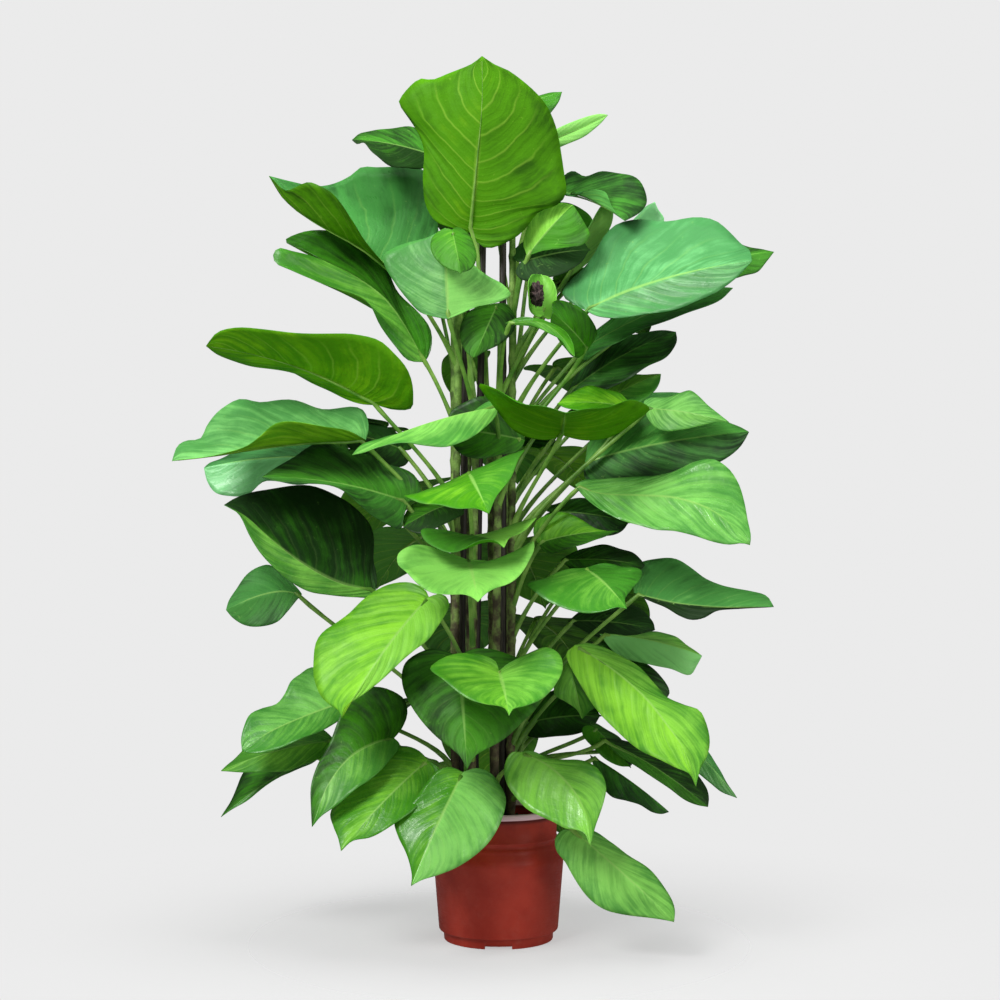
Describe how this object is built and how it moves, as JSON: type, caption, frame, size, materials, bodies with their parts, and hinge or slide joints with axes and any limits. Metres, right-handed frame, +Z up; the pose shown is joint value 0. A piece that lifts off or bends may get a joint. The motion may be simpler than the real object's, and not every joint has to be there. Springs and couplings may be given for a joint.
{
  "type": "potted golden pothos",
  "caption": "Tall golden pothos: leafy vines with heart-shaped leaves on arching stalks climb canes bundled in a round shouldered nursery pot filled with soil.",
  "frame": {"origin": "centre of the pot's foot, in the plane that it stands on", "axes": "+Z up along the canes, -Y towards the viewer of the picture, +X to the viewer's right"},
  "size_m": [0.8283, 0.6087, 1.2159],
  "materials": {
    "pot": "satin",
    "soil": "crumbly",
    "cane": "matte",
    "leaf": "waxy"
  },
  "bodies": {
    "root": {"pot": "pot", "soil": "soil", "cane_right": "cane", "cane_middle": "cane", "cane_left": "cane", "vine_1": "leaf", "vine_2": "leaf", "vine_3": "leaf", "vine_4": "leaf", "vine_5": "leaf", "vine_6": "leaf", "vine_7": "leaf", "vine_8": "leaf"}
  },
  "joints": []
}
